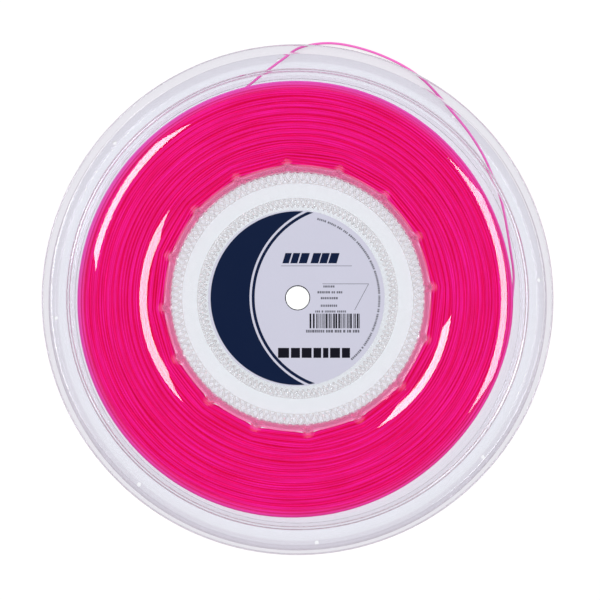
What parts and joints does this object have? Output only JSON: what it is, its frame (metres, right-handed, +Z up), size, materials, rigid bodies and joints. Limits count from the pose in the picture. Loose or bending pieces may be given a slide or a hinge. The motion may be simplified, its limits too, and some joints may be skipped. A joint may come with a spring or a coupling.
{
  "type": "string reel",
  "caption": "Clear moulded spool wound with pink racket string, with a printed paper disc on its hub, a spindle bore through the webs and a loose turn of string.",
  "frame": {"origin": "centre of the plane that the reel rests on, under the middle of the spindle bore", "axes": "+Z runs up through the bore from the rear half to the front half, which carries the label; +X points to the first lobe, less 4.5 degrees, and +Y makes the frame right-handed"},
  "size_m": [0.275, 0.2809, 0.022],
  "materials": {
    "clear_plastic": "clear, polished",
    "label": "printed paper",
    "string": "translucent monofilament"
  },
  "bodies": {
    "root": {"front_half": "clear_plastic", "rear_half": "clear_plastic", "front_label": "label", "string_core": "string", "string_turns": "string", "loose_strand": "string"}
  },
  "joints": []
}
